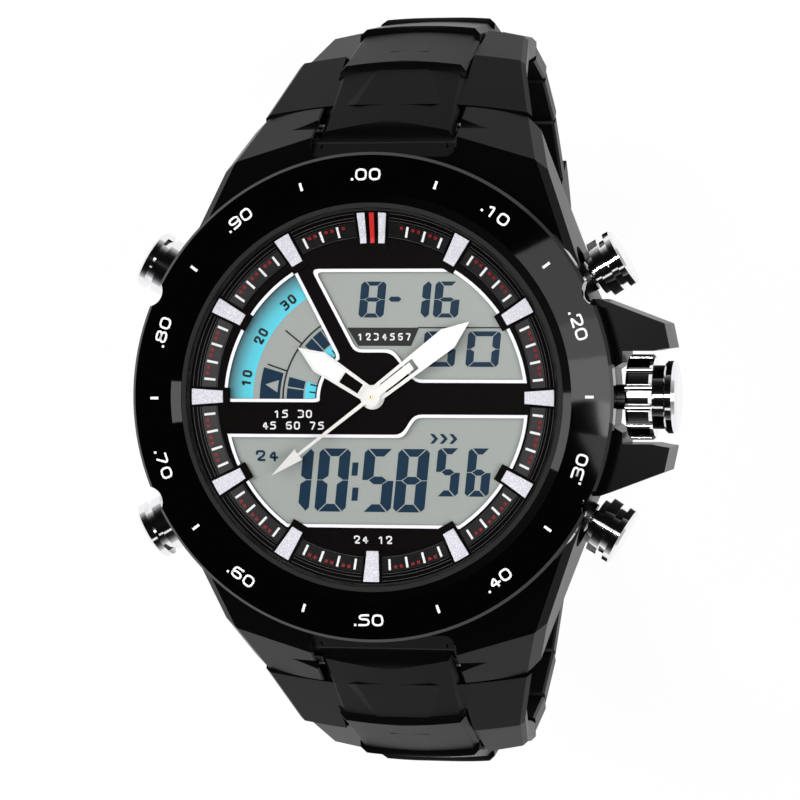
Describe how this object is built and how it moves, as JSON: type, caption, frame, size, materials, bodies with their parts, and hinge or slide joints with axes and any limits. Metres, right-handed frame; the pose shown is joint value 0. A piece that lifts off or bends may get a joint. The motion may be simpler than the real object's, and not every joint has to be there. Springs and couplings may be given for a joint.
{
  "type": "sports wristwatch",
  "caption": "Round black sports wristwatch with hands over display windows, side pushers, crown with guards, and a three-row link bracelet on a folding clasp.",
  "frame": {"origin": "centre of the case back's outer flat face", "axes": "+X to 3 o'clock and the crown, +Y to 12 o'clock, +Z the way the dial faces; the closed bracelet hangs below the case"},
  "size_m": [0.0572, 0.0832, 0.0813],
  "materials": {
    "case_black": "satin black",
    "bezel_black": "polished black",
    "clear_glass": "clear",
    "black_rubber": "matt",
    "dial_black": "fine matt black",
    "bright_markers": "bright",
    "white_print": "white",
    "display_glass": "grey display",
    "holder_plastic": "natural",
    "board_green": "green",
    "copper_wire": "enamelled copper",
    "steel": "polished",
    "white_hands": "white filled",
    "brass_wheels": "bright",
    "bright_chrome": "polished",
    "bracelet_black": "satin black",
    "clasp_black": "satin black on steel"
  },
  "bodies": {
    "case": {"case_body": "case_black", "bezel": "bezel_black", "crystal": "clear_glass", "crystal_gasket": "black_rubber", "chapter_ring": "dial_black", "hour_markers": "bright_markers", "dial": "dial_black", "window_frames": "white_print", "lcd_panel": "display_glass", "movement_plate": "holder_plastic", "circuit_board": "board_green", "motor_coil": "copper_wire", "battery": "steel", "case_gasket": "black_rubber", "case_back": "steel", "case_back_screws": "steel", "crown_tube": "steel", "pusher_tubes": "steel", "lug_spring_bars": "steel"},
    "hour_train": {"hour_hand": "white_hands", "hour_wheel": "brass_wheels"},
    "minute_train": {"minute_hand": "white_hands", "cannon_pinion": "brass_wheels"},
    "second_train": {"second_hand": "white_hands", "second_arbor": "brass_wheels"},
    "motion_wheel": {"minute_wheel": "brass_wheels"},
    "crown_slider": {"setting_lever": "steel"},
    "crown_knob": {"crown": "bright_chrome", "crown_stem": "steel"},
    "push_2": {"pusher_2": "bright_chrome", "pusher_spring_2": "steel"},
    "push_4": {"pusher_4": "bright_chrome", "pusher_spring_4": "steel"},
    "push_8": {"pusher_8": "bright_chrome", "pusher_spring_8": "steel"},
    "push_10": {"pusher_10": "bright_chrome", "pusher_spring_10": "steel"},
    "upper_link_1": {"upper_link_1": "bracelet_black"},
    "upper_link_2": {"upper_link_2": "bracelet_black"},
    "upper_link_3": {"upper_link_3": "bracelet_black"},
    "upper_link_4": {"upper_link_4": "bracelet_black"},
    "upper_link_5": {"upper_link_5": "bracelet_black"},
    "upper_link_6": {"upper_link_6": "bracelet_black"},
    "lower_link_1": {"lower_link_1": "bracelet_black"},
    "lower_link_2": {"lower_link_2": "bracelet_black"},
    "lower_link_3": {"lower_link_3": "bracelet_black"},
    "lower_link_4": {"lower_link_4": "bracelet_black"},
    "lower_link_5": {"lower_link_5": "bracelet_black"},
    "lower_link_6": {"lower_link_6": "bracelet_black"},
    "lower_link_7": {"lower_link_7": "bracelet_black"},
    "clasp": {"clasp_cover": "clasp_black", "clasp_hinge_pins": "steel"},
    "outer_blade": {"clasp_outer_blade": "steel"},
    "inner_blade": {"clasp_inner_blade": "steel", "clasp_spring_bar": "steel"},
    "release_3": {"clasp_button_3": "steel"},
    "release_9": {"clasp_button_9": "steel"}
  },
  "joints": [
    {"name": "minute_turn", "type": "hinge", "parent": "case", "child": "minute_train", "pos_m": [0, 0, 0.0134], "axis": [0, 0, -1], "continuous": true},
    {"name": "hour_turn", "type": "hinge", "parent": "case", "child": "hour_train", "pos_m": [0, 0, 0.0134], "axis": [0, 0, -1], "continuous": true},
    {"name": "motion_wheel_turn", "type": "hinge", "parent": "case", "child": "motion_wheel", "pos_m": [0.003, 0, 0.0115], "axis": [0, 0, -1], "continuous": true},
    {"name": "second_turn", "type": "hinge", "parent": "case", "child": "second_train", "pos_m": [0, 0, 0.0134], "axis": [0, 0, -1], "continuous": true},
    {"name": "crown_pull", "type": "slide", "parent": "case", "child": "crown_slider", "axis": [1, 0, 0], "range_m": [0, 0.0012]},
    {"name": "crown_turn", "type": "hinge", "parent": "crown_slider", "child": "crown_knob", "pos_m": [0.0256, 0, 0.0069], "axis": [1, 0, 0], "continuous": true},
    {"name": "push_2_press", "type": "slide", "parent": "case", "child": "push_2", "axis": [-0.866, -0.5, 0], "range_m": [0, 0.0008], "stiffness_N_per_m": 1500, "springref_m": -0.001},
    {"name": "push_4_press", "type": "slide", "parent": "case", "child": "push_4", "axis": [-0.866, 0.5, 0], "range_m": [0, 0.0008], "stiffness_N_per_m": 1500, "springref_m": -0.001},
    {"name": "push_8_press", "type": "slide", "parent": "case", "child": "push_8", "axis": [0.866, 0.5, 0], "range_m": [0, 0.0008], "stiffness_N_per_m": 1500, "springref_m": -0.001},
    {"name": "push_10_press", "type": "slide", "parent": "case", "child": "push_10", "axis": [0.866, -0.5, 0], "range_m": [0, 0.0008], "stiffness_N_per_m": 1500, "springref_m": -0.001},
    {"name": "upper_link_1_swing", "type": "hinge", "parent": "case", "child": "upper_link_1", "pos_m": [0, 0.02777, 0.00248], "axis": [1, 0, 0], "range_deg": [0, 50]},
    {"name": "upper_link_2_swing", "type": "hinge", "parent": "upper_link_1", "child": "upper_link_2", "pos_m": [0, 0.03394, -0.0057], "axis": [1, 0, 0], "range_deg": [0, 18]},
    {"name": "upper_link_3_swing", "type": "hinge", "parent": "upper_link_2", "child": "upper_link_3", "pos_m": [0, 0.03778, -0.0152], "axis": [1, 0, 0], "range_deg": [0, 18]},
    {"name": "upper_link_4_swing", "type": "hinge", "parent": "upper_link_3", "child": "upper_link_4", "pos_m": [0, 0.039, -0.02538], "axis": [1, 0, 0], "range_deg": [0, 18]},
    {"name": "upper_link_5_swing", "type": "hinge", "parent": "upper_link_4", "child": "upper_link_5", "pos_m": [0, 0.03752, -0.03552], "axis": [1, 0, 0], "range_deg": [0, 18]},
    {"name": "upper_link_6_swing", "type": "hinge", "parent": "upper_link_5", "child": "upper_link_6", "pos_m": [0, 0.03346, -0.04493], "axis": [1, 0, 0], "range_deg": [0, 18]},
    {"name": "lower_link_1_swing", "type": "hinge", "parent": "case", "child": "lower_link_1", "pos_m": [0, -0.02777, 0.00248], "axis": [-1, 0, 0], "range_deg": [0, 50]},
    {"name": "lower_link_2_swing", "type": "hinge", "parent": "lower_link_1", "child": "lower_link_2", "pos_m": [0, -0.03394, -0.0057], "axis": [-1, 0, 0], "range_deg": [0, 18]},
    {"name": "lower_link_3_swing", "type": "hinge", "parent": "lower_link_2", "child": "lower_link_3", "pos_m": [0, -0.03778, -0.0152], "axis": [-1, 0, 0], "range_deg": [0, 18]},
    {"name": "lower_link_4_swing", "type": "hinge", "parent": "lower_link_3", "child": "lower_link_4", "pos_m": [0, -0.039, -0.02538], "axis": [-1, 0, 0], "range_deg": [0, 18]},
    {"name": "lower_link_5_swing", "type": "hinge", "parent": "lower_link_4", "child": "lower_link_5", "pos_m": [0, -0.03752, -0.03552], "axis": [-1, 0, 0], "range_deg": [0, 18]},
    {"name": "lower_link_6_swing", "type": "hinge", "parent": "lower_link_5", "child": "lower_link_6", "pos_m": [0, -0.03346, -0.04493], "axis": [-1, 0, 0], "range_deg": [0, 18]},
    {"name": "lower_link_7_swing", "type": "hinge", "parent": "lower_link_6", "child": "lower_link_7", "pos_m": [0, -0.02709, -0.05296], "axis": [-1, 0, 0], "range_deg": [0, 18]},
    {"name": "clasp_swing", "type": "hinge", "parent": "upper_link_6", "child": "clasp", "pos_m": [0, 0.02709, -0.05296], "axis": [1, 0, 0], "range_deg": [0, 18]},
    {"name": "outer_blade_fold", "type": "hinge", "parent": "clasp", "child": "outer_blade", "pos_m": [0, -0.01325, -0.06147], "axis": [1, 0, 0], "range_deg": [0, 90]},
    {"name": "inner_blade_fold", "type": "hinge", "parent": "outer_blade", "child": "inner_blade", "pos_m": [0, 0.02038, -0.05762], "axis": [-1, 0, 0], "range_deg": [0, 110]},
    {"name": "release_3_press", "type": "slide", "parent": "clasp", "child": "release_3", "axis": [-1, 0, 0], "range_m": [0, 0.0005], "stiffness_N_per_m": 1000, "springref_m": -0.0005},
    {"name": "release_9_press", "type": "slide", "parent": "clasp", "child": "release_9", "axis": [1, 0, 0], "range_m": [0, 0.0005], "stiffness_N_per_m": 1000, "springref_m": -0.0005}
  ],
  "couplings": [
    {"joint": "hour_turn", "follows": "minute_turn", "ratio": 0.083333},
    {"joint": "motion_wheel_turn", "follows": "minute_turn", "ratio": -0.33333}
  ]
}
